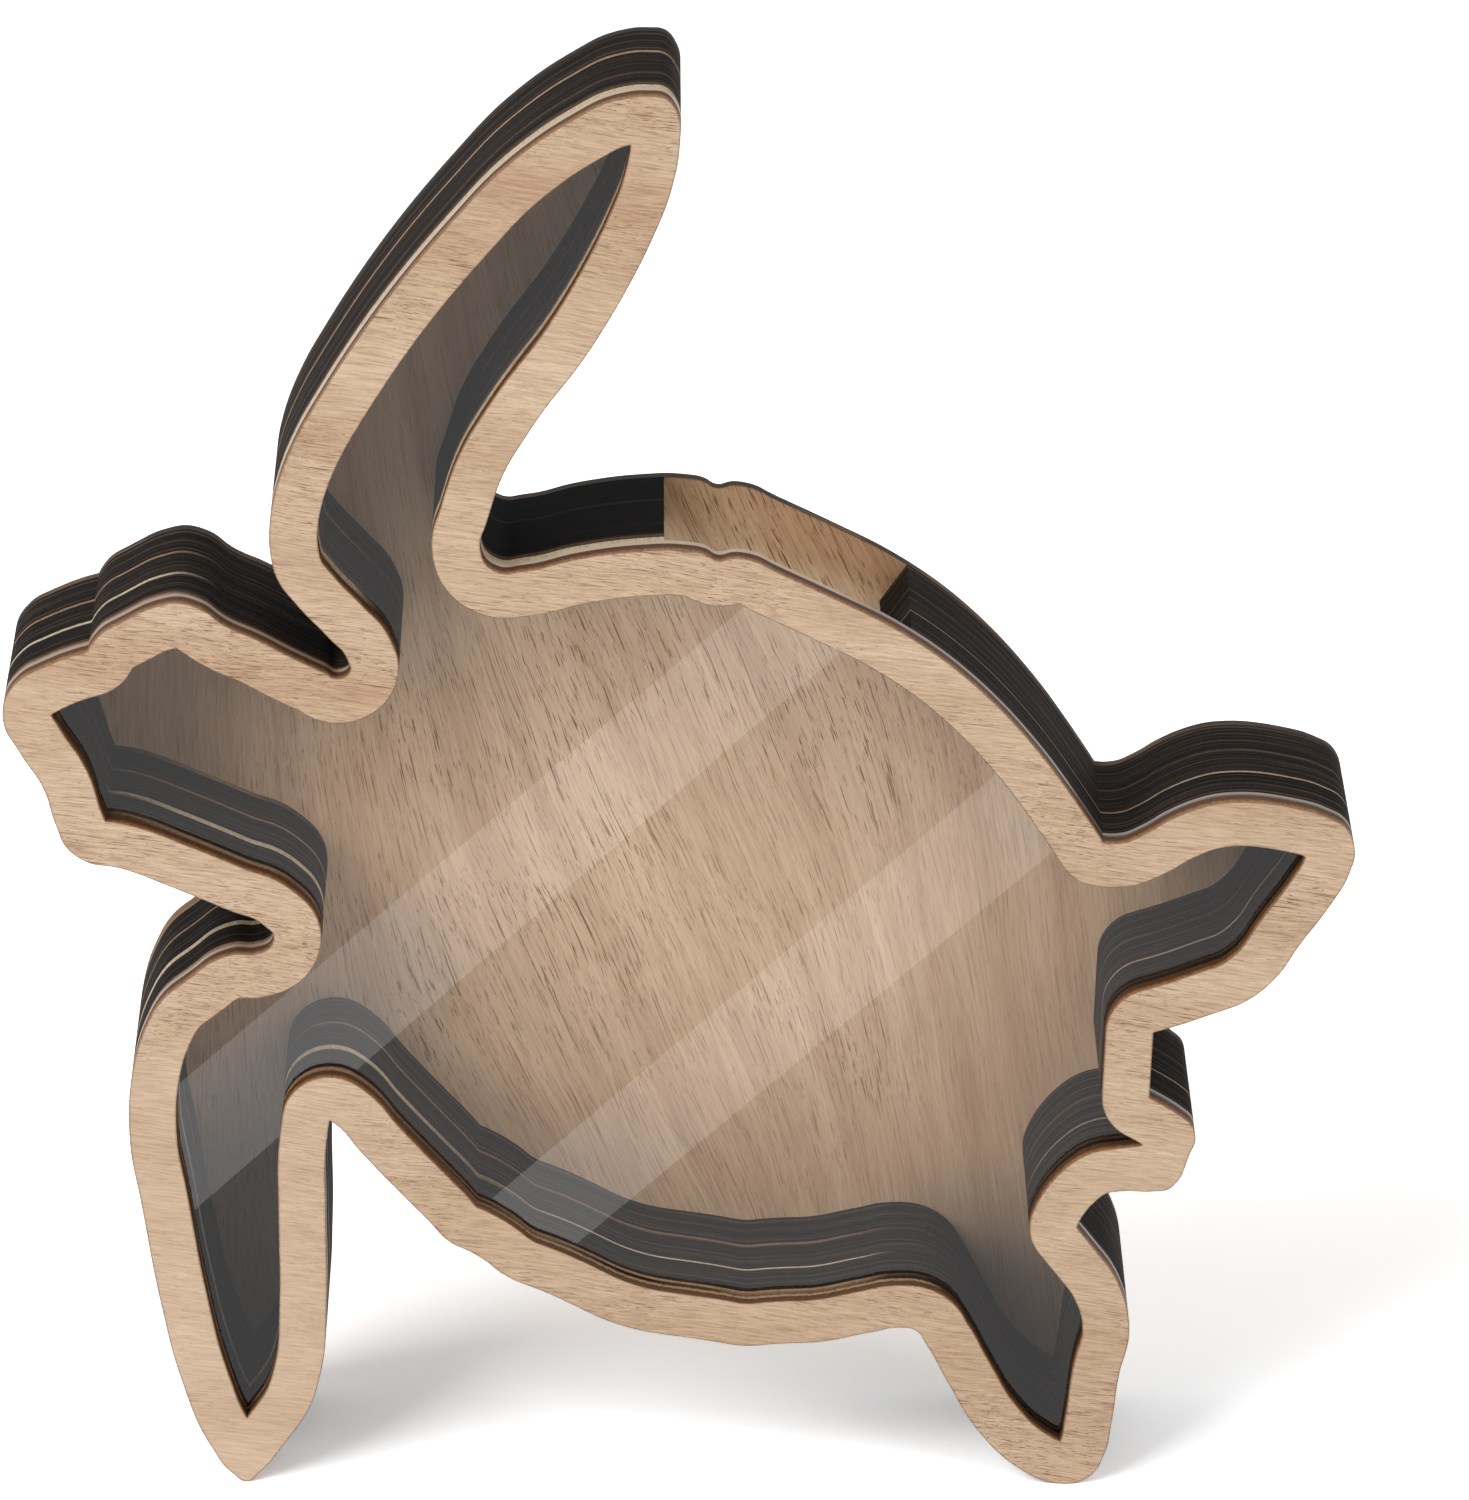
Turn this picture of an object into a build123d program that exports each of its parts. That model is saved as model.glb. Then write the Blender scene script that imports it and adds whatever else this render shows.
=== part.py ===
from build123d import *

import os
from math import cos, radians, sin, sqrt

# A free-standing display box in the outline of a sea turtle, built up in layers of
# sheet: a veneered front frame, a clear window, three thick boards that make the side
# wall, and a back panel. The top of the shell has no wall, so things drop in there.
# Millimetres, +Z up, front toward -Y. The origin is on the surface that the box
# stands on, under the middle of its bounding box.

# Sheet thicknesses, front to back
FRAME_THICKNESS = 3.0
WINDOW_THICKNESS = 1.5
BOARD_THICKNESS = 10.0
BACK_THICKNESS = 2.0
BOARD_NAMES = ("front", "middle", "rear")

# The outline is drawn below in millimetres and brought to this height
OVERALL_HEIGHT = 250.0

# Width of the rail between the outline and the opening, the same all round
RAIL_WIDTH = 8.0

# The wall is cut through in three places: at both ends of the slot in the top of the
# shell, and at the butt joint of its two halves under the belly. Each cut is a point
# on the outline, and the way that the cut runs outward, in degrees from +X.
SLOT_LEFT_END = (-3.0, 171.2)
SLOT_LEFT_ANGLE = 90.0
SLOT_RIGHT_END = (38.4, 156.0)
SLOT_RIGHT_ANGLE = 55.0
JOINT_END = (40.4, 29.1)
JOINT_ANGLE = -106.0

# The outline, clockwise from the front. Each list is one smooth stretch, and two
# lists meet in a sharp corner. (across, up)
HEAD_FIN_AND_SHELL = [
    (-98.5, 152.9), (-96.8, 155.5), (-92.5, 158.3), (-87.5, 160.8), (-83.3, 161.6),
    (-79.8, 160.6), (-75.5, 157.5), (-70.0, 154.9), (-64.7, 152.0), (-59.5, 149.4),
    (-57.0, 148.2), (-55.0, 149.6), (-55.5, 151.8), (-58.8, 155.8), (-63.5, 161.0),
    (-66.9, 165.8), (-68.1, 171.0), (-68.0, 176.5), (-66.6, 183.0), (-63.4, 191.0),
    (-59.4, 198.2), (-49.4, 213.7), (-39.4, 226.5), (-29.4, 237.5), (-19.6, 245.0),
    (-11.5, 249.2), (-6.5, 250.0), (-2.8, 249.4), (-1.1, 247.0), (-0.8, 241.0),
    (-2.2, 233.5), (-5.6, 224.5), (-9.7, 216.0), (-15.2, 206.4), (-25.0, 192.4),
    (-29.5, 184.5), (-32.2, 176.3), (-33.4, 171.6), (-32.6, 168.8), (-30.3, 167.2),
    (-26.0, 167.5), (-17.0, 169.7), (-8.0, 171.0), (0.0, 171.2), (3.6, 170.6),
    (5.9, 169.4), (8.6, 169.9), (11.5, 169.5), (16.0, 167.3), (25.0, 162.9),
    (35.0, 157.7), (43.3, 152.1), (51.7, 144.6), (60.0, 135.0), (67.0, 125.0),
    (70.7, 119.2),
]
RIGHT_FLIPPER = [
    (70.7, 119.2), (74.2, 119.3), (77.5, 120.8), (81.3, 123.2), (85.0, 125.0),
    (89.2, 126.3), (93.5, 126.7), (101.7, 125.8), (107.5, 124.2), (111.3, 121.9),
    (112.8, 117.8), (111.8, 113.3), (108.5, 107.3), (103.8, 100.4), (100.8, 95.5),
    (96.5, 91.2), (88.3, 87.5), (79.8, 84.6),
]
BESIDE_THE_TAIL = [
    (79.8, 84.6), (79.4, 72.6),
]
TAIL = [
    (79.4, 72.6), (82.5, 70.8), (85.0, 69.1), (86.8, 67.4), (87.4, 65.3),
    (86.3, 61.6), (84.6, 57.2), (83.0, 55.6), (80.5, 55.2), (75.0, 55.2),
    (72.4, 54.7), (71.0, 53.6), (67.6, 48.4),
]
REAR_FLIPPER_AND_BELLY = [
    (67.6, 48.4), (70.0, 45.3), (74.6, 38.7), (76.6, 33.0), (77.0, 28.5),
    (75.4, 20.5), (74.4, 12.0), (73.3, 5.8), (71.2, 1.8), (67.5, 0.0),
    (63.5, 0.4), (57.5, 3.7), (51.3, 10.3), (45.8, 19.9), (42.6, 26.0),
    (40.4, 29.1), (37.2, 29.5), (33.3, 28.7), (24.2, 26.8), (17.0, 26.4),
    (11.5, 26.0), (5.0, 27.0), (-10.0, 29.9), (-22.0, 35.7), (-30.0, 39.5),
    (-33.0, 42.0), (-35.5, 43.6), (-38.5, 45.1), (-43.0, 49.9), (-53.8, 62.0),
    (-58.0, 67.1), (-59.1, 67.9),
]
LOWER_FIN_AND_HEAD = [
    (-59.1, 67.9), (-59.8, 62.0), (-59.9, 50.0), (-59.9, 34.0), (-60.7, 22.0),
    (-63.0, 14.0), (-67.2, 7.4), (-71.6, 1.8), (-73.8, 0.0), (-76.2, 1.5),
    (-80.5, 7.8), (-85.1, 20.3), (-88.4, 35.3), (-91.0, 51.5), (-92.9, 64.0),
    (-92.6, 74.5), (-90.3, 84.0), (-87.0, 90.1), (-82.2, 94.2), (-78.3, 97.2),
    (-75.0, 98.4), (-71.3, 98.5), (-68.9, 99.6), (-68.2, 101.8), (-69.8, 103.7),
    (-76.3, 106.7), (-84.7, 110.4), (-93.8, 114.0), (-99.5, 115.2), (-102.7, 117.8),
    (-104.3, 121.7), (-106.2, 128.2), (-110.2, 135.0), (-112.6, 139.8), (-112.3, 144.5),
    (-110.0, 147.7), (-105.5, 150.3), (-98.5, 152.9),
]
STRETCHES = [
    HEAD_FIN_AND_SHELL,
    RIGHT_FLIPPER,
    BESIDE_THE_TAIL,
    TAIL,
    REAR_FLIPPER_AND_BELLY,
    LOWER_FIN_AND_HEAD,
]

# Two places nearer than this are one place, in millimetres
SAME_PLACE = 0.001

# How often a step is halved to find where it comes too near the outline
HALVINGS = 20

# A point on the set-in outline is clear at this share of the rail's width
NEARLY_ALL = 0.99999


def drawn_at_full_size(point):
    drawn_heights = [up for stretch in STRETCHES for _, up in stretch]
    return Vector(*point) * (OVERALL_HEIGHT / max(drawn_heights))


def direction_between(before, here, after):
    """Which way the circle through three points runs at the middle one."""
    arriving = here - before
    leaving = after - here
    return (arriving / arriving.length**2 + leaving / leaving.length**2).normalized()


def mirrored(direction, chord):
    """The direction at the other end of an arc over this chord."""
    along = chord.normalized()
    return along * (2 * along.dot(direction)) - direction


def directions_along(points):
    """One direction a point. The stretch starts and ends as an arc would."""
    if len(points) == 2:
        return [(points[1] - points[0]).normalized()] * 2
    inner = [direction_between(*three) for three in zip(points, points[1:], points[2:])]
    first = mirrored(inner[0], points[1] - points[0])
    last = mirrored(inner[-1], points[-1] - points[-2])
    return [first, *inner, last]


def meeting_point(start, start_direction, end, end_direction):
    """Where two arcs meet smoothly that keep the direction given at each end."""
    chord = end - start
    both = start_direction + end_direction
    turn = 2 * (1 - start_direction.dot(end_direction))
    if turn * chord.length < SAME_PLACE**2:
        return (start + end) / 2
    reach = (sqrt(chord.dot(both) ** 2 + turn * chord.dot(chord)) - chord.dot(both)) / turn
    return (start + end + (start_direction - end_direction) * reach) / 2


def stations_of_outline():
    """The ends of the arcs that the outline is made of, each with its direction there.

    A sharp corner is two stations in one place.
    """
    stations = []
    for stretch in STRETCHES:
        points = [drawn_at_full_size(point) for point in stretch]
        ends = list(zip(points, directions_along(points)))
        stations.append(ends[0])
        for start, end in zip(ends, ends[1:]):
            meeting = meeting_point(*start, *end)
            stations.append((meeting, mirrored(start[1], meeting - start[0])))
            stations.append(end)
    return stations


def bend(start, end, direction):
    """An arc that starts in this direction, or a line where it has no bend."""
    chord = end - start
    if abs(direction.cross(chord).Z) < SAME_PLACE:
        return Line(start, end)
    return TangentArc(start, end, tangent=direction)


def path(stations):
    """Arcs from each station to the next."""
    return [
        bend(start, end, direction)
        for (start, direction), (end, _) in zip(stations, stations[1:])
        if (end - start).length > SAME_PLACE
    ]


def set_in(station):
    """The same station a rail's width further in. The outline runs clockwise."""
    point, direction = station
    return point + Vector(direction.Y, -direction.X) * RAIL_WIDTH, direction


def trimmed_at(near, far, clear_of_outline):
    """How far the path from one station to the next keeps clear of the outline."""
    if (far[0] - near[0]).dot(near[1]) <= 0:
        return near[0]
    step = bend(near[0], far[0], near[1])
    kept = 0.0
    lost = 1.0
    for _ in range(HALVINGS):
        tried = (kept + lost) / 2
        if clear_of_outline(step @ tried):
            kept = tried
        else:
            lost = tried
    return step @ kept


def reversed_station(station):
    return station[0], -station[1]


def runs_clear_of(outline, stations):
    """The stretches of the set-in outline that the opening keeps, with trimmed ends."""

    def clear_of_outline(point):
        return outline.distance_to(point) > RAIL_WIDTH * NEARLY_ALL

    clear = [clear_of_outline(point) for point, _ in stations]
    count = len(stations)
    runs = []
    for first in range(count):
        if clear[first - 1] or not clear[first]:
            continue
        run = [stations[first]]
        while clear[(first + len(run)) % count]:
            run.append(stations[(first + len(run)) % count])
        before = reversed_station(stations[first - 1])
        after = stations[(first + len(run)) % count]
        start = trimmed_at(reversed_station(run[0]), before, clear_of_outline)
        end = trimmed_at(run[-1], after, clear_of_outline)
        runs.append((start, run, end))
    return runs


def in_loops(runs):
    """The runs in closed loops: each is followed by the one that starts where it ends."""
    loops = []
    while runs:
        loop = []
        following = runs[0]
        while following in runs:
            runs.remove(following)
            loop.append(following)
            end = following[2]
            following = min([loop[0], *runs], key=lambda run: (run[0] - end).length)
        loops.append(loop)
    return loops


def edges_round(loop):
    """The edges of a loop of runs. Each run starts where the one before it ends."""
    edges = []
    corner = loop[-1][2]
    for _, stations, end in loop:
        lead = stations[0][0] - corner
        if lead.length > SAME_PLACE:
            edges.append(bend(corner, stations[0][0], mirrored(stations[0][1], lead)))
        edges += path(stations)
        if (end - stations[-1][0]).length > SAME_PLACE:
            edges.append(bend(stations[-1][0], end, stations[-1][1]))
        corner = end
    return edges


def opening_in(outline):
    """What the rail leaves open: the outline set in by the rail's width and trimmed."""
    stations = [set_in(station) for station in stations_of_outline()]
    loops = in_loops(runs_clear_of(outline, stations))
    openings = [make_face(edges_round(loop)) for loop in loops]
    return sum(openings[1:], openings[0])


def cut_through_wall(outline_point, angle):
    """The two ends of a cut, each a rail's width past the rail."""
    crossing = drawn_at_full_size(outline_point)
    outward = Vector(cos(radians(angle)), sin(radians(angle)))
    return crossing - outward * RAIL_WIDTH * 2, crossing + outward * RAIL_WIDTH


def half_of_wall(rail, slot_cut, joint_cut, over_slot, far_side):
    """The wall's profile on one side, from its end at the slot to the butt joint."""
    box = rail.bounding_box()
    top = box.max.Y + RAIL_WIDTH
    bottom = box.min.Y - RAIL_WIDTH
    corners = [
        slot_cut[0],
        slot_cut[1],
        (over_slot, top),
        (far_side, top),
        (far_side, bottom),
        (joint_cut[1].X, bottom),
        joint_cut[1],
        joint_cut[0],
    ]
    return rail & make_face(Polyline(*corners, close=True))


def halves_of_wall(rail):
    slot_left = cut_through_wall(SLOT_LEFT_END, SLOT_LEFT_ANGLE)
    slot_right = cut_through_wall(SLOT_RIGHT_END, SLOT_RIGHT_ANGLE)
    joint = cut_through_wall(JOINT_END, JOINT_ANGLE)
    over_slot = (slot_left[1].X + slot_right[1].X) / 2
    box = rail.bounding_box()
    return {
        "left": half_of_wall(rail, slot_left, joint, over_slot, box.min.X - RAIL_WIDTH),
        "right": half_of_wall(rail, slot_right, joint, over_slot, box.max.X + RAIL_WIDTH),
    }


def sheet(profile, front, thickness):
    """A flat piece whose front face lies at this depth."""
    return extrude(Plane.XZ.offset(-front) * profile, -thickness)


def display_box():
    outline = Wire(path(stations_of_outline()))
    whole = make_face(outline)
    rail = whole - opening_in(outline)
    wall_thickness = len(BOARD_NAMES) * BOARD_THICKNESS
    total = FRAME_THICKNESS + WINDOW_THICKNESS + wall_thickness + BACK_THICKNESS

    front = -total / 2
    pieces = {"front_frame": sheet(rail, front, FRAME_THICKNESS)}
    front += FRAME_THICKNESS
    pieces["clear_window"] = sheet(whole, front, WINDOW_THICKNESS)
    front += WINDOW_THICKNESS
    halves = halves_of_wall(rail)
    for board in BOARD_NAMES:
        for side, profile in halves.items():
            pieces[f"{side}_wall_{board}"] = sheet(profile, front, BOARD_THICKNESS)
        front += BOARD_THICKNESS
    pieces["back_panel"] = sheet(whole, front, BACK_THICKNESS)

    box = whole.bounding_box()
    on_the_ground = Pos(-(box.min.X + box.max.X) / 2, 0, -box.min.Y)
    return {name: on_the_ground * piece for name, piece in pieces.items()}


os.makedirs("parts", exist_ok=True)
for name, piece in display_box().items():
    piece.label = name
    export_step(piece, f"parts/{name}.step")
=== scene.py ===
# %% [markdown]
# # A display box in the outline of a sea turtle
#
# The box is cut from sheets and glued up in layers: a veneered frame, a clear window,
# three thick boards that make the side wall, and a back panel. The layers come from the
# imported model. They are loaded first and stay where they are, so this file only has to
# dress them, light them and look at them.

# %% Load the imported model
import math

import bpy
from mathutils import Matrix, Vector


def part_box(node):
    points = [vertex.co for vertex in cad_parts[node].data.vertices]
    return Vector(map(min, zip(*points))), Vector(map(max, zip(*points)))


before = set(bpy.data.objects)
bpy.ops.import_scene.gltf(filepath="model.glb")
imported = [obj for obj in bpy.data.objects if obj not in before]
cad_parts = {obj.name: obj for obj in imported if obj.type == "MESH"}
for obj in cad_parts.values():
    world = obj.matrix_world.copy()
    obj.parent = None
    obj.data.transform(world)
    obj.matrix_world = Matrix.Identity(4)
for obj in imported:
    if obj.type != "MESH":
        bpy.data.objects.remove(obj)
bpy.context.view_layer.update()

print("sheets:", sorted(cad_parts))

# %% [markdown]
# ## The camera
#
# The box was photographed with a long lens from a little above, so its front is seen
# almost square and its top edges show their depth. The camera could be aimed by an empty
# that it tracks. Plain numbers are clearer here, because the place and the turn were
# measured from the picture.

# %% The camera
SENSOR_MM = 36.0
FOCAL_LENGTH_IN_FRAME_WIDTHS = 6.605
CAMERA_PLACE = (-0.00775, -1.51498, 0.74221)
CAMERA_TURN_DEGREES = (67.9457, -0.4078, -0.4699)
NEAREST_SEEN = 0.05
FARTHEST_SEEN = 50.0

bpy.ops.object.camera_add(
    location=CAMERA_PLACE, rotation=[math.radians(turn) for turn in CAMERA_TURN_DEGREES]
)
camera = bpy.context.object
camera.data.sensor_fit = "HORIZONTAL"
camera.data.sensor_width = SENSOR_MM
camera.data.lens = SENSOR_MM * FOCAL_LENGTH_IN_FRAME_WIDTHS
camera.data.clip_start = NEAREST_SEEN
camera.data.clip_end = FARTHEST_SEEN
bpy.context.scene.camera = camera
bpy.context.scene.view_settings.view_transform = "Standard"
print("lens:", round(camera.data.lens, 1), "mm")

# %% [markdown]
# ## Helpers for materials
#
# Every finish below is a small network of nodes. Building it in the node editor is good
# for trying things out. In code it pays to have a few helpers: one adds a node and fills
# its inputs, and the others are short names for the nodes that come again and again.


# %% Node helpers
def shade(red, green, blue):
    """A colour as it looks on a screen, from 0 to 255, as the linear colour of a socket."""
    parts = [value / 255 for value in (red, green, blue)]
    linear = [p / 12.92 if p < 0.04045 else ((p + 0.055) / 1.055) ** 2.4 for p in parts]
    return (*linear, 1.0)


def add_node(tree, kind, inputs, **settings):
    """Adds a node. Each input is a plain value or the output of another node."""
    made = tree.nodes.new(kind)
    for name, value in settings.items():
        setattr(made, name, value)
    for socket, value in inputs.items():
        if isinstance(value, bpy.types.NodeSocket):
            tree.links.new(value, made.inputs[socket])
        else:
            made.inputs[socket].default_value = value
    return made


def maths(tree, operation, *values):
    """One sum on plain numbers or on the outputs of other nodes."""
    made = add_node(tree, "ShaderNodeMath", dict(enumerate(values)), operation=operation)
    return made.outputs[0]


def all_of(tree, *masks):
    """1 where every mask is 1, and 0 where any of them is 0."""
    together = masks[0]
    for mask in masks[1:]:
        together = maths(tree, "MULTIPLY", together, mask)
    return together


def between(tree, value, start, end, at_start=0.0, at_end=1.0):
    """Changes smoothly from one level to another as the value goes from start to end."""
    inputs = {"Value": value, 1: start, 2: end, 3: at_start, 4: at_end}
    made = add_node(tree, "ShaderNodeMapRange", inputs, interpolation_type="SMOOTHSTEP")
    return made.outputs[0]


def pushed(tree, value, by_noise, reach):
    """The value, moved up or down by at most half this reach."""
    return maths(tree, "ADD", value, maths(tree, "MULTIPLY_ADD", by_noise, reach, -reach / 2))


def mixed(tree, share, first, second, blend="MIX"):
    """The first colour where the share is 0, the second where it is 1."""
    inputs = {0: share, 6: first, 7: second}
    made = add_node(tree, "ShaderNodeMix", inputs, data_type="RGBA", blend_type=blend)
    return made.outputs[2]


def tinted(tree, share, colour, tint):
    """The colour, darkened by a tint where the share is 1."""
    return mixed(tree, share, colour, tint, "MULTIPLY")


def noise(tree, place, detail=2.0, roughness=0.5):
    """A soft noise from 0 to 1, whose blobs are about one unit wide."""
    inputs = {"Vector": place, "Scale": 1.0, "Detail": detail, "Roughness": roughness}
    return add_node(tree, "ShaderNodeTexNoise", inputs).outputs[0]


def stretched(tree, place, size, turn_degrees=0.0, shift=0.0):
    """Coordinates in which a mark of this size is one unit each way.

    The turn is about the axis from the front to the back.
    """
    turn = (0.0, math.radians(turn_degrees), 0.0)
    inputs = {"Vector": place, "Location": (shift,) * 3, "Rotation": turn, "Scale": size}
    made = add_node(tree, "ShaderNodeMapping", inputs, vector_type="TEXTURE")
    return made.outputs[0]


def colours_of(tree, value, stops):
    """A colour ramp. Each stop is a place from 0 to 1 and a colour."""
    made = add_node(tree, "ShaderNodeValToRGB", {"Fac": value})
    elements = made.color_ramp.elements
    while len(elements) < len(stops):
        elements.new(0.5)
    for element, (position, colour) in zip(elements, stops):
        element.position = position
        element.color = colour
    return made.outputs[0]


WHITE = shade(255, 255, 255)
print("white as a socket takes it:", WHITE)


# %% Material helpers
def new_finish(name):
    """A material with its surface shader, its node tree and the object coordinates."""
    material = bpy.data.materials.new(name)
    material.use_nodes = True
    tree = material.node_tree
    place = add_node(tree, "ShaderNodeTexCoord", {}).outputs["Object"]
    return material, tree, tree.nodes["Principled BSDF"], place


def finish_surface(tree, surface, colour, relief, roughness, gloss, height, strength):
    """Gives a surface its colour, its relief and how dull or glossy it is."""
    tree.links.new(colour, surface.inputs["Base Color"])
    surface.inputs["Roughness"].default_value = roughness
    surface.inputs["Specular IOR Level"].default_value = gloss
    inputs = {"Height": relief, "Distance": height, "Strength": strength}
    bump = add_node(tree, "ShaderNodeBump", inputs)
    tree.links.new(bump.outputs[0], surface.inputs["Normal"])


def blended(tree, share, first, second):
    """The first shader where the share is 0, the second where it is 1."""
    inputs = {0: share, 1: first.outputs[0], 2: second.outputs[0]}
    return add_node(tree, "ShaderNodeMixShader", inputs)


def show(tree, shader, output="Material Output"):
    """Makes a shader the one that is seen."""
    tree.links.new(shader.outputs[0], tree.nodes[output].inputs["Surface"])


def dress(node_name, material):
    """Gives a sheet its finish."""
    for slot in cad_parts[node_name].material_slots:
        slot.material = material
    print(node_name, "gets", material.name)


print("materials on the loaded sheets:", len(bpy.data.materials))

# %% [markdown]
# ## Which face of a sheet a point is on
#
# A cut sheet has two looks: its broad faces and its cut edge. Two materials could be
# given to different faces, but the sheets' meshes are left alone, so the material decides
# for itself. A face whose normal points to the front or the back is broad, and any other
# is cut. The depth behind the front of the box says which ply a point on the edge is in.


# %% Broad or cut, and how deep
MILLIMETRE = 0.001
BOX_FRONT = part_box("front_frame")[0][1]


def is_cut_edge(tree):
    """0 on the broad faces and 1 on the cut edge."""
    normal = add_node(tree, "ShaderNodeNewGeometry", {}).outputs["True Normal"]
    front_to_back = add_node(tree, "ShaderNodeSeparateXYZ", {0: normal}).outputs["Y"]
    return maths(tree, "LESS_THAN", maths(tree, "ABSOLUTE", front_to_back), 0.5)


def parts_of(tree, place):
    """How far across, how far back and how high up a point is, in metres."""
    made = add_node(tree, "ShaderNodeSeparateXYZ", {0: place})
    return made.outputs["X"], made.outputs["Y"], made.outputs["Z"]


def depth_in_millimetres(tree, place):
    """How far a point lies behind the front of the box."""
    behind = maths(tree, "SUBTRACT", parts_of(tree, place)[1], BOX_FRONT)
    return maths(tree, "DIVIDE", behind, MILLIMETRE)


def share_of_sheet(tree, depth, front, thickness):
    """0 at the front face of a sheet and 1 at its back face, all in millimetres."""
    return maths(tree, "DIVIDE", maths(tree, "SUBTRACT", depth, front), thickness)


print("front at", round(BOX_FRONT / MILLIMETRE, 2), "mm")

# %% [markdown]
# ## The veneered frame
#
# The front is a pale veneer with short dark pores that run nearly level. The laser that
# cut it scorched the cut edge brown and left a thin brown line round the face. Pores are
# high spots of a noise that is stretched along the grain. The bevel node finds the rim:
# near an edge its rounded normal leans away from the true one.


# %% Grain of a veneer
RIM_WIDTH = 0.7 * MILLIMETRE


def wavy(tree, place, reach, scale):
    """The same coordinates, pushed about a little so that the grain wanders."""
    inputs = {"Vector": place, "Scale": scale, "Detail": 1.0}
    push = add_node(tree, "ShaderNodeTexNoise", inputs).outputs["Color"]
    inputs = {0: push, 1: (reach,) * 3, 2: place}
    made = add_node(tree, "ShaderNodeVectorMath", inputs, operation="MULTIPLY_ADD")
    return made.outputs[0]


def flecks(tree, place, length, width, turn, low, high, shift=0.0):
    """Short marks along the grain: the high spots of a stretched noise."""
    moved = stretched(tree, place, (length, width, width), turn, shift)
    return between(tree, noise(tree, moved, detail=3.0, roughness=0.6), low, high)


def rim_of(tree):
    """1 on the very edge of a face, falling to 0 a rim's width further in."""
    rounded = add_node(tree, "ShaderNodeBevel", {"Radius": RIM_WIDTH}, samples=8).outputs[0]
    normal = add_node(tree, "ShaderNodeNewGeometry", {}).outputs["True Normal"]
    inputs = {0: rounded, 1: normal}
    lean = add_node(tree, "ShaderNodeVectorMath", inputs, operation="DOT_PRODUCT")
    return between(tree, lean.outputs["Value"], 0.99, 0.78)


print("scorched rim:", round(RIM_WIDTH / MILLIMETRE, 2), "mm")

# %% The tone of the frame's face
VENEER_TURN = 8.0

veneer, tree, surface, place = new_finish("pale_veneer")
grain_place = wavy(tree, place, 2.5 * MILLIMETRE, 45.0)
tone_place = stretched(tree, grain_place, (0.11, 0.01, 0.011), VENEER_TURN)
face = colours_of(
    tree,
    noise(tree, tone_place, detail=3.0),
    [(0.25, shade(204, 172, 142)), (0.5, shade(216, 188, 159)), (0.75, shade(226, 201, 173))],
)
fibre_place = stretched(tree, grain_place, (0.006, 0.0005, 0.00035), VENEER_TURN)
fibre = noise(tree, fibre_place, detail=4.0, roughness=0.7)
fibre_tint = colours_of(tree, fibre, [(0.3, shade(214, 204, 196)), (0.62, WHITE)])
face = tinted(tree, 1.0, face, fibre_tint)
print("the frame's grain is turned by", VENEER_TURN, "degrees")

# %% Its pores, a darker fin top, and painted light on the lower fin
PORE_BROWN = shade(118, 74, 44)
LONG_PORE = 0.0068
SHORT_PORE = 0.0018

side, _, up = parts_of(tree, place)
lower_fin = all_of(tree, between(tree, up, 0.1, 0.05), between(tree, side, -0.04, -0.07))
crowd = between(tree, noise(tree, stretched(tree, place, (0.05, 0.02, 0.016))), 0.35, 0.65)
long_pores = flecks(tree, grain_place, LONG_PORE, 0.00017, VENEER_TURN, 0.575, 0.65)
short_pores = flecks(tree, grain_place, SHORT_PORE, 0.00022, VENEER_TURN, 0.62, 0.68, 0.3)
pores = all_of(
    tree,
    maths(tree, "MAXIMUM", long_pores, short_pores),
    between(tree, crowd, 0.0, 1.0, 0.3, 0.8),
    between(tree, lower_fin, 0.0, 1.0, 1.0, 0.6),
)
face = mixed(tree, pores, face, PORE_BROWN)
fin_top = between(tree, up, 0.2, 0.232)
face = tinted(tree, fin_top, face, shade(247, 244, 241))
# Painted light: the lower fin's face is mixed a quarter of the way to a paler colour, making
# up for light that falls off towards the bottom left.
face = mixed(tree, maths(tree, "MULTIPLY", lower_fin, 0.25), face, shade(240, 216, 190))
print("pores are stretched", round(LONG_PORE / MILLIMETRE, 1), "mm along the grain")

# %% The cut edge of the frame, and its finish
FRAME_THICKNESS = 3.0

depth = depth_in_millimetres(tree, place)
scorch = noise(tree, stretched(tree, place, (0.0007, 0.004, 0.0007)), detail=3.0)
through = share_of_sheet(tree, pushed(tree, depth, scorch, 0.9), 0.0, FRAME_THICKNESS)
edge = colours_of(
    tree,
    through,
    [
        (0.0, shade(176, 131, 90)),
        (0.22, shade(156, 110, 69)),
        (0.45, shade(104, 68, 39)),
        (0.72, shade(84, 51, 27)),
        (1.0, shade(92, 64, 43)),
    ],
)
belly_edge = colours_of(
    tree,
    through,
    [
        (0.0, shade(112, 80, 54)),
        (0.58, shade(96, 66, 43)),
        (0.68, shade(176, 150, 120)),
        (0.86, shade(170, 144, 114)),
        (0.96, shade(84, 64, 45)),
    ],
)
on_belly_edge = all_of(
    tree,
    between(tree, side, -0.045, -0.02),
    between(tree, side, 0.046, 0.042),
    between(tree, up, 0.11, 0.1),
)
edge = mixed(tree, on_belly_edge, edge, belly_edge)
speckle = noise(tree, stretched(tree, place, (0.0005, 0.0005, 0.0005)))
edge = mixed(tree, between(tree, speckle, 0.5, 0.68, 0.0, 0.6), edge, shade(56, 37, 26))
rim = maths(tree, "MULTIPLY", rim_of(tree), between(tree, scorch, 0.2, 0.6, 0.5, 0.85))
face = mixed(tree, rim, face, shade(88, 56, 37))
colour = mixed(tree, is_cut_edge(tree), face, edge)
relief = maths(tree, "SUBTRACT", fibre, maths(tree, "MULTIPLY", pores, 1.5))
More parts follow.
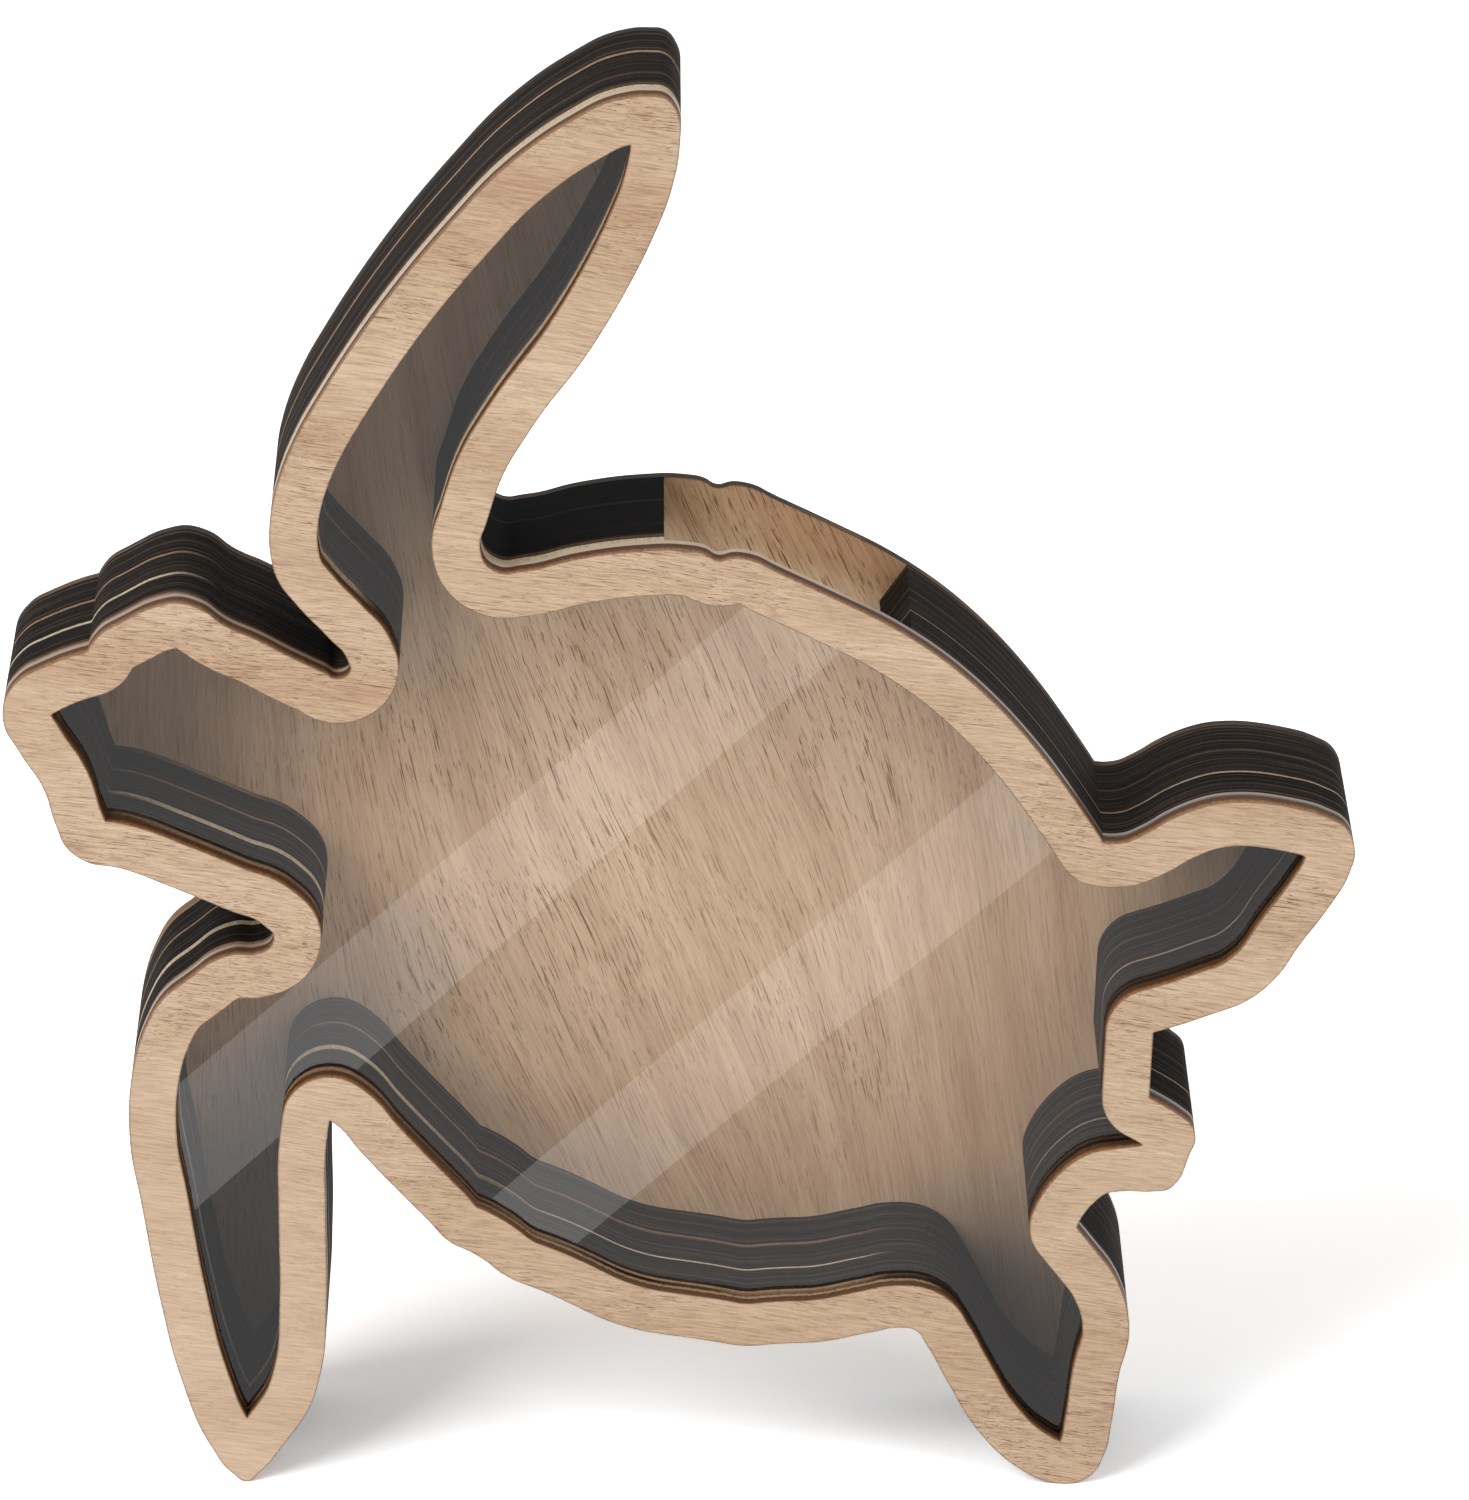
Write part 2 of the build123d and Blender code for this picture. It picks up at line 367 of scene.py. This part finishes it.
finish_surface(
    tree,
    surface,
    colour,
    relief,
    roughness=0.62,
    gloss=0.25,
    height=0.04 * MILLIMETRE,
    strength=0.6,
)
dress("front_frame", veneer)

# %% [markdown]
# ## The boards of the side wall
#
# The boards are plywood, and the laser charred their cut edges almost black. Some plies
# took less char and show as thin brown or cream lines that run round the box at one
# depth. A line is therefore a narrow band of depth. It wanders and fades a little along
# the way, which a slow noise does. The two halves of the wall show different lines, so
# each has its own list, with all depths and widths in millimetres.


# %% Charred plywood
SOFT_SIDE = 0.3
LINES_WANDER = 1.2
FIRST_PLIES_END = 7.6
PAINTED_SHADE_FROM = 8.6


def in_lower_fin_tip(tree, place):
    """The bottom of the lower fin, where hardly a line shows and the panel gets painted shade.
    """
    across, _, up = parts_of(tree, place)
    return all_of(tree, between(tree, up, 0.06, 0.045), between(tree, across, -0.05, -0.06))


def line_at(tree, depth, middle, width):
    """1 in a band of depth with soft sides, and 0 elsewhere."""
    off = maths(tree, "ABSOLUTE", maths(tree, "SUBTRACT", depth, middle))
    return between(tree, off, (width + SOFT_SIDE) / 2, (width - SOFT_SIDE) / 2)


def charred(name, lines, patches=(), painted_shade_at=None):
    """The finish of a cut edge. Each line is a depth, a width, a colour and a strength.

    A patch is a line with one more value: a function that says where on the box it shows.
    The last value is a function that says where painted shade darkens the char to near black.
    """
    material, tree, surface, place = new_finish(name)
    drift = noise(tree, stretched(tree, place, (0.03, 0.2, 0.03)))
    depth = pushed(tree, depth_in_millimetres(tree, place), drift, LINES_WANDER)
    thin = noise(tree, stretched(tree, place, (0.05, 0.0005, 0.05)), detail=3.0, roughness=0.7)
    colour = colours_of(
        tree,
        thin,
        [
            (0.3, shade(10, 9, 9)),
            (0.48, shade(26, 24, 22)),
            (0.6, shade(50, 44, 39)),
            (0.74, shade(88, 74, 63)),
        ],
    )
    slow = noise(tree, stretched(tree, place, (0.02, 0.004, 0.02)))
    tip = maths(tree, "MULTIPLY", in_lower_fin_tip(tree, place), 0.8)
    fade = all_of(tree, between(tree, slow, 0.3, 0.6, 0.35), maths(tree, "SUBTRACT", 1.0, tip))
    bands = [(line, fade) for line in lines]
    bands += [(patch[:4], patch[4](tree, place)) for patch in patches]
    for (middle, width, line_colour, strength), shown in bands:
        line = maths(tree, "MULTIPLY", line_at(tree, depth, middle, width), strength)
        colour = mixed(tree, maths(tree, "MULTIPLY", line, shown), colour, line_colour)
    # Painted shade: behind the first plies, the char is darkened to near black where the last
    # function says.
    if painted_shade_at:
        painted_shade_depth = between(tree, depth, FIRST_PLIES_END, PAINTED_SHADE_FROM, 0.0, 0.92)
        share = maths(tree, "MULTIPLY", painted_shade_at(tree, place), painted_shade_depth)
        colour = mixed(tree, share, colour, shade(5, 5, 5))
    soot_place = stretched(tree, place, (0.0006, 0.0015, 0.0006))
    soot = noise(tree, soot_place, detail=4.0, roughness=0.7)
    soot_tint = colours_of(tree, soot, [(0.3, shade(205, 203, 202)), (0.6, WHITE)])
    colour = tinted(tree, 1.0, colour, soot_tint)
    relief = maths(tree, "ADD", soot, maths(tree, "MULTIPLY", thin, 2.0))
    finish_surface(
        tree,
        surface,
        colour,
        relief,
        roughness=0.75,
        gloss=0.06,
        height=0.03 * MILLIMETRE,
        strength=0.4,
    )
    print(name, "has", len(bands), "lines")
    return material


print("a line wanders by", LINES_WANDER / 2, "mm each way at most")

# %% [markdown]
# ## Where the uncharred plies show
#
# On some parts of the box a ply shows lighter or wider than elsewhere: on the fins, the
# head and the belly. A painted mask would need a picture file. Here a mask is a product
# of smooth steps across and up the box, in metres, and the lists further down say which
# line shows on which part.

# %% Colours and places of the plies
CREAM = shade(216, 196, 166)
TAN = shade(170, 141, 113)
GOLDEN = shade(172, 142, 113)
BROWN = shade(96, 74, 58)
SOOT = shade(12, 11, 11)


def off_rear_flipper(tree, place):
    """The right half above the rear flipper, the more the further to the right."""
    across, _, up = parts_of(tree, place)
    toward_the_right = between(tree, across, 0.05, 0.095, 0.4, 1.0)
    return all_of(tree, between(tree, up, 0.046, 0.054), toward_the_right)


def beside_the_slot(tree, place):
    """The corner between the upper fin and the slot, where painted shade makes the char near
    black.
    """
    across, _, up = parts_of(tree, place)
    level = all_of(tree, between(tree, up, 0.152, 0.158), between(tree, up, 0.2, 0.19))
    return all_of(tree, level, between(tree, across, -0.045, -0.04))


def on_upper_fin(tree, place):
    """The upper fin and the shell beside it."""
    across, _, up = parts_of(tree, place)
    high = between(tree, up, 0.158, 0.164)
    return all_of(tree, high, between(tree, across, -0.078, -0.066))


def on_lower_fin(tree, place):
    """The top of the lower fin and the arch beside it."""
    across, _, up = parts_of(tree, place)
    return all_of(tree, between(tree, up, 0.124, 0.118), between(tree, across, -0.02, -0.06))


def on_fin_side(tree, place):
    """The left side of the lower fin."""
    across = parts_of(tree, place)[0]
    return all_of(tree, on_lower_fin(tree, place), between(tree, across, -0.06, -0.08))


def on_belly(tree, place):
    """The belly from its middle on to just before the joint."""
    across, _, up = parts_of(tree, place)
    return all_of(
        tree,
        between(tree, up, 0.12, 0.1),
        between(tree, across, 0.038, 0.028),
        between(tree, across, -0.045, -0.01),
    )


def on_head(tree, place):
    """The head, but neither the tip of the snout nor its top near the fin."""
    across, _, up = parts_of(tree, place)
    level = all_of(tree, between(tree, up, 0.168, 0.160), between(tree, up, 0.118, 0.124))
    snout = between(tree, across, -0.094, -0.097)
    top = between(tree, across, -0.088, -0.076)
    black_part = between(tree, up, 0.137, 0.143, snout, top)
    return all_of(tree, level, maths(tree, "SUBTRACT", 1.0, black_part))


print("cream as a socket takes it:", [round(part, 3) for part in CREAM])

# %% Both halves of the wall
BOARDS_MEET = [(14.5, 0.25, SOOT, 1.0), (24.5, 0.25, SOOT, 1.0)]

left_wall = charred(
    "charred_plywood_left",
    [
        (5.0, 0.9, BROWN, 0.9),
        (8.4, 0.4, BROWN, 0.5),
        (17.4, 0.5, BROWN, 0.5),
        (19.2, 0.4, BROWN, 0.5),
        (23.7, 1.2, BROWN, 1.0),
        (25.6, 0.5, BROWN, 0.8),
        (29.5, 0.5, BROWN, 0.6),
        (33.2, 0.7, BROWN, 0.9),
        *BOARDS_MEET,
    ],
    [
        (5.3, 1.8, CREAM, 1.0, on_upper_fin),
        (7.0, 1.4, BROWN, 0.9, on_upper_fin),
        (12.6, 1.0, BROWN, 0.7, on_upper_fin),
        (23.8, 1.0, TAN, 1.0, on_upper_fin),
        (5.0, 0.9, TAN, 1.0, on_belly),
        (14.1, 0.5, CREAM, 1.0, on_belly),
        (23.9, 0.6, TAN, 0.5, on_belly),
        (5.5, 1.4, BROWN, 1.0, on_head),
        (13.9, 1.0, CREAM, 1.0, on_head),
        (23.8, 0.7, TAN, 1.0, on_head),
        (13.5, 1.7, CREAM, 1.0, on_lower_fin),
        (23.8, 0.8, TAN, 0.8, on_lower_fin),
        (34.2, 2.6, GOLDEN, 0.9, on_fin_side),
        (4.8, 0.7, GOLDEN, 0.8, on_head),
        (4.8, 0.7, GOLDEN, 0.8, on_lower_fin),
    ],
    beside_the_slot,
)
right_wall = charred(
    "charred_plywood_right",
    [
        (5.3, 0.6, BROWN, 0.8),
        (8.5, 0.4, BROWN, 0.5),
        (16.2, 0.4, BROWN, 0.6),
        (19.5, 0.5, BROWN, 0.7),
        (23.3, 0.8, BROWN, 1.0),
        (27.4, 0.5, BROWN, 0.7),
        (30.6, 0.5, BROWN, 0.6),
        (33.6, 0.7, BROWN, 0.8),
        *BOARDS_MEET,
    ],
    [(13.5, 0.6, shade(200, 170, 142), 0.9, off_rear_flipper)],
)
for board in ("front", "middle", "rear"):
    dress(f"left_wall_{board}", left_wall)
    dress(f"right_wall_{board}", right_wall)

# %% [markdown]
# ## The back panel
#
# The back is a browner veneer whose grain runs steeply down to the right, with dark
# flecks about a centimetre long. It uses the same marks as the frame, turned and
# lengthened. A grain that is turned as a whole would lean the same everywhere. This one
# leans most in the middle of the panel, so the coordinates are pushed sideways there, the
# more the further above or below a fixed height. Away from the middle, in the tips of the
# lower fin and the rear flipper, and in the slot, the colour is darkened by painted shade.
# The laser left its cut edge golden in one place, and burnt it dark elsewhere.

# %% The tone of the back panel's face
GRAIN_PIVOT = 0.11
UPRIGHT = 90.0


def leaning(tree, place):
    """Coordinates in which a grain that leans in the middle of the panel is upright."""
    across, _, up = parts_of(tree, place)
    lean = between(tree, across, -0.085, -0.015, 0.0, 0.40)
    lean = maths(tree, "SUBTRACT", lean, between(tree, across, 0.01, 0.06, 0.0, 0.25))
    aside = maths(tree, "MULTIPLY", lean, maths(tree, "SUBTRACT", up, GRAIN_PIVOT))
    push = add_node(tree, "ShaderNodeCombineXYZ", {"X": aside}).outputs[0]
    made = add_node(tree, "ShaderNodeVectorMath", {0: place, 1: push}, operation="ADD")
    return made.outputs[0]


back, tree, surface, place = new_finish("steep_grained_veneer")
grain_place = wavy(tree, leaning(tree, place), 3.0 * MILLIMETRE, 30.0)
tone_place = stretched(tree, grain_place, (0.10, 0.01, 0.007), UPRIGHT)
face = colours_of(
    tree,
    noise(tree, tone_place, detail=4.0, roughness=0.6),
    [(0.25, shade(206, 171, 136)), (0.5, shade(225, 192, 157)), (0.75, shade(236, 206, 172))],
)
fibre_place = stretched(tree, grain_place, (0.012, 0.0007, 0.00045), UPRIGHT)
fibre = noise(tree, fibre_place, detail=4.0, roughness=0.7)
fibre_tint = colours_of(tree, fibre, [(0.3, shade(228, 221, 215)), (0.62, WHITE)])
face = tinted(tree, 1.0, face, fibre_tint)
print("the panel's grain leans about a height of", GRAIN_PIVOT / MILLIMETRE, "mm")

# %% Its flecks
FLECK_BROWN = shade(122, 72, 26)
LONG_FLECK = 0.0125
SHORT_FLECK = 0.0048
PANEL_MIDDLE = (0.0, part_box("back_panel")[0][1], 0.115)


def distance_from(tree, place, middle):
    """How far a point is from a fixed one, in metres."""
    inputs = {0: place, 1: middle}
    made = add_node(tree, "ShaderNodeVectorMath", inputs, operation="DISTANCE")
    return made.outputs["Value"]


across, _, up = parts_of(tree, place)
off_middle = distance_from(tree, place, PANEL_MIDDLE)
crowd = between(tree, noise(tree, stretched(tree, place, (0.04, 0.02, 0.04))), 0.35, 0.65)
long_marks = flecks(tree, grain_place, LONG_FLECK, 0.0003, UPRIGHT, 0.59, 0.64)
short_marks = flecks(tree, grain_place, SHORT_FLECK, 0.00026, UPRIGHT, 0.62, 0.67, 0.3)
marks = all_of(
    tree,
    maths(tree, "MAXIMUM", long_marks, short_marks),
    between(tree, crowd, 0.0, 1.0, 0.48, 0.92),
    between(tree, off_middle, 0.06, 0.085, 1.0, 0.6),
    between(tree, across, 0.025, 0.05, 1.0, 0.55),
)
face = mixed(tree, marks, face, FLECK_BROWN)
print("flecks are stretched", round(LONG_FLECK / MILLIMETRE, 1), "mm along the grain")

# %% Painted shade on the back panel
in_rear_flipper = all_of(
    tree, between(tree, up, 0.05, 0.022), between(tree, across, 0.035, 0.045)
)
above_shell = maths(tree, "MULTIPLY_ADD", across, 0.33, up)
in_the_slot = all_of(
    tree,
    between(tree, above_shell, 0.159, 0.165),
    between(tree, across, -0.008, -0.003),
    between(tree, up, 0.2, 0.19),
)
# Painted shade: these tints darken the panel's colour away from its middle, in the lower fin's
# tip, in the rear flipper and in the slot, where little light reaches.
painted_shade_places = [
    (between(tree, off_middle, 0.03, 0.085), shade(227, 223, 221)),
    (in_lower_fin_tip(tree, place), shade(188, 196, 206)),
    (in_rear_flipper, shade(168, 172, 178)),
    (in_the_slot, shade(230, 219, 206)),
]
for where, tint in painted_shade_places:
    face = tinted(tree, where, face, tint)
print("the panel is duller in", len(painted_shade_places), "places")

# %% The cut edge of the back panel, and its finish
PANEL_FRONT = 34.5
PANEL_THICKNESS = 2.0

depth = depth_in_millimetres(tree, place)
edge = colours_of(
    tree,
    share_of_sheet(tree, depth, PANEL_FRONT, PANEL_THICKNESS),
    [
        (0.0, shade(44, 34, 27)),
        (0.3, shade(158, 124, 88)),
        (0.55, shade(112, 84, 58)),
        (0.75, shade(176, 140, 100)),
        (1.0, shade(60, 46, 35)),
    ],
)
burnt = noise(tree, stretched(tree, place, (0.012, 0.002, 0.012)), detail=3.0)
burnt = between(tree, burnt, 0.42, 0.6, 0.5, 0.95)
burnt = maths(tree, "MAXIMUM", burnt, between(tree, up, 0.155, 0.175))
golden = all_of(tree, between(tree, up, 0.12, 0.1), between(tree, across, -0.05, -0.06))
burnt = maths(tree, "MULTIPLY", burnt, maths(tree, "SUBTRACT", 1.0, golden))
edge = mixed(tree, burnt, edge, shade(28, 23, 20))
face = mixed(tree, maths(tree, "MULTIPLY", rim_of(tree), 0.8), face, shade(70, 46, 32))
colour = mixed(tree, is_cut_edge(tree), face, edge)
relief = maths(tree, "SUBTRACT", fibre, maths(tree, "MULTIPLY", marks, 1.5))
finish_surface(
    tree,
    surface,
    colour,
    relief,
    roughness=0.62,
    gloss=0.25,
    height=0.05 * MILLIMETRE,
    strength=0.6,
)
dress("back_panel", back)

# %% [markdown]
# ## The clear window
#
# The window is clear acrylic. Its faces are polished, and its cut edge is a pale line
# behind the frame. Real glass shaders stop the lamps, because light that bends is not
# followed back to them, and the inside would go dark. So the glass works only for the
# camera and for rays that come from a mirror or a glass, and any other ray passes
# straight through. Only the front face mirrors, which keeps the edges of what it shows
# single. The index of the faces is a little above that of acrylic, so the mirrored share
# is about 3 in 64, and with 64 samples the dark parts behind the window stay clean.

# %% The window's cut edge
WINDOW_THICKNESS = 1.5
ACRYLIC_INDEX = 1.49
EDGE_ROUGHNESS = 0.35

acrylic, tree, surface, place = new_finish("polished_acrylic")
depth = depth_in_millimetres(tree, place)
through = share_of_sheet(tree, depth, FRAME_THICKNESS, WINDOW_THICKNESS)
# The paler middle of each edge ramp is partly the edge's own colour and partly a painted
# highlight. The edge is warmer on the left and greyer on the right.
warm_edge = colours_of(
    tree,
    through,
    [
        (0.0, shade(146, 115, 88)),
        (0.3, shade(178, 151, 125)),
        (0.7, shade(166, 141, 115)),
        (1.0, shade(144, 115, 90)),
    ],
)
grey_edge = colours_of(
    tree,
    through,
    [
        (0.0, shade(80, 66, 56)),
        (0.3, shade(104, 92, 82)),
        (0.5, shade(158, 146, 134)),
        (0.8, shade(146, 134, 122)),
        (1.0, shade(68, 58, 51)),
    ],
)
to_the_right = between(tree, parts_of(tree, place)[0], 0.0, 0.06)
cut_colour = mixed(tree, to_the_right, warm_edge, grey_edge)
cut_colour = mixed(tree, on_upper_fin(tree, place), cut_colour, shade(196, 174, 142))
inputs = {"Base Color": cut_colour, "Roughness": EDGE_ROUGHNESS, "IOR": ACRYLIC_INDEX}
cut = add_node(tree, "ShaderNodeBsdfPrincipled", inputs)
print("window:", WINDOW_THICKNESS, "mm thick")

# %% The window's faces
FACE_INDEX = 1.548
LET_THROUGH = (0.975, 0.975, 0.975, 1.0)

surface.inputs["Base Color"].default_value = WHITE
surface.inputs["Roughness"].default_value = 0.0
surface.inputs["IOR"].default_value = FACE_INDEX
surface.inputs["Transmission Weight"].default_value = 1.0
front_face = maths(tree, "LESS_THAN", through, 0.5)
tree.links.new(front_face, surface.inputs["Specular Tint"])
open_to_light = add_node(tree, "ShaderNodeBsdfTransparent", {"Color": LET_THROUGH})
ray = add_node(tree, "ShaderNodeLightPath", {}).outputs
faces = blended(tree, ray["Is Camera Ray"], open_to_light, surface)
faces = blended(tree, ray["Is Singular Ray"], faces, surface)
faces = blended(tree, ray["Is Shadow Ray"], faces, open_to_light)
show(tree, blended(tree, is_cut_edge(tree), faces, cut))
dress("clear_window", acrylic)

# %% [markdown]
# ## The studio
#
# The box stands on a white floor under two large soft lamps, a strong one from the upper
# left and a weak one from the upper right, with light from all round to fill the
# shadows. The camera sees the floor lighter than it is, so that it is white but for the
# shadow of the box, and further off it turns plain white. A mirror sees it plain white
# everywhere.

# %% The floor
FLOOR_SIZE = 24.0
FLOOR_WHITE = (0.86, 0.86, 0.86, 1.0)
ADDED_FOR_CAMERA = (1.3, 1.3, 1.3, 1.0)
TURNS_PLAIN_FROM = 0.5
ALL_PLAIN_FROM = 1.3

bpy.ops.object.select_all(action="DESELECT")
bpy.ops.mesh.primitive_plane_add(size=FLOOR_SIZE)
floor = bpy.context.object
floor.name = "floor"
floor_finish, tree, surface, place = new_finish("white_floor")
surface.inputs["Base Color"].default_value = FLOOR_WHITE
surface.inputs["Roughness"].default_value = 0.9
surface.inputs["Specular IOR Level"].default_value = 0.0
more = add_node(tree, "ShaderNodeBsdfDiffuse", {"Color": ADDED_FOR_CAMERA})
lighter = add_node(tree, "ShaderNodeAddShader", {0: surface.outputs[0], 1: more.outputs[0]})
plain_white = add_node(tree, "ShaderNodeEmission", {"Strength": 1.0})
from_box = distance_from(tree, place, (0.0, 0.0, 0.0))
far_off = between(tree, from_box, TURNS_PLAIN_FROM, ALL_PLAIN_FROM)
lighter = blended(tree, far_off, lighter, plain_white)
ray = add_node(tree, "ShaderNodeLightPath", {}).outputs
in_a_mirror = maths(tree, "MAXIMUM", ray["Is Glossy Ray"], ray["Is Transmission Ray"])
white = blended(tree, ray["Is Camera Ray"], surface, lighter)
show(tree, blended(tree, in_a_mirror, white, plain_white))
floor.data.materials.append(floor_finish)
print("floor:", FLOOR_SIZE, "m across")

# %% The room
ROOM_STRENGTH = 0.34

world = bpy.data.worlds.new("studio_room")
bpy.context.scene.world = world
world.use_nodes = True
tree = world.node_tree
room = tree.nodes["Background"]
room.inputs["Color"].default_value = WHITE
room.inputs["Strength"].default_value = ROOM_STRENGTH
backdrop = add_node(tree, "ShaderNodeBackground", {"Strength": 1.0})
ray = add_node(tree, "ShaderNodeLightPath", {}).outputs
looked_at = maths(tree, "MAXIMUM", ray["Is Camera Ray"], ray["Is Glossy Ray"])
looked_at = maths(tree, "MAXIMUM", looked_at, ray["Is Transmission Ray"])
show(tree, blended(tree, looked_at, room, backdrop), "World Output")
print("light from all round:", ROOM_STRENGTH)

# %% The lamps
BOX_MIDDLE = Vector((0.0, 0.0, 0.12))
LAMP_SIZE = 1.5
LAMPS = {
    "key_lamp": ((-1.35, -1.15, 1.25), 33.5),
    "side_lamp": ((1.35, -1.15, 1.25), 10.5),
}

for name, (lamp_place, power) in LAMPS.items():
    toward_box = BOX_MIDDLE - Vector(lamp_place)
    turn = toward_box.to_track_quat("-Z", "Y").to_euler()
    bpy.ops.object.light_add(type="AREA", location=lamp_place, rotation=turn)
    lamp = bpy.context.object
    lamp.name = name
    lamp.data.size = LAMP_SIZE
    lamp.data.energy = power
    print(name, round(toward_box.length, 2), "m away,", power, "W")

# %% [markdown]
# ## Cards for the two bands in the window
#
# The window mirrors two slanting bright bands. They come from two bright cards on the
# floor, in front of the box and below the picture. Lamps of that shape would light the
# box as well. A card that only a mirror can see lights nothing, casts no shadow and is
# there only for its reflection. Its corners were found by following the camera's view off
# the window to the floor.

# %% Two bright cards
CARD_HEIGHT = 2 * MILLIMETRE
CARD_STRENGTH = 2.4
CARDS = {
    "long_card": [(-0.096, -0.168), (-0.091, -0.111), (0.042, -0.413), (0.020, -0.434)],
    "short_card": [(-0.039, -0.113), (-0.023, -0.095), (0.082, -0.303), (0.071, -0.342)],
}

card_finish = bpy.data.materials.new("bright_card")
card_finish.use_nodes = True
tree = card_finish.node_tree
bright = add_node(tree, "ShaderNodeEmission", {"Strength": CARD_STRENGTH})
unseen = add_node(tree, "ShaderNodeBsdfTransparent", {})
mirrored = add_node(tree, "ShaderNodeLightPath", {}).outputs["Is Singular Ray"]
show(tree, blended(tree, mirrored, unseen, bright))
for name, corners in CARDS.items():
    bpy.ops.object.select_all(action="DESELECT")
    bpy.ops.mesh.primitive_circle_add(vertices=4, fill_type="NGON")
    card = bpy.context.object
    card.name = name
    for vertex, (aside, forward) in zip(card.data.vertices, corners):
        vertex.co = (aside, forward, CARD_HEIGHT)
    card.data.materials.append(card_finish)
    card.visible_shadow = False
    print(name, "has", len(corners), "corners")
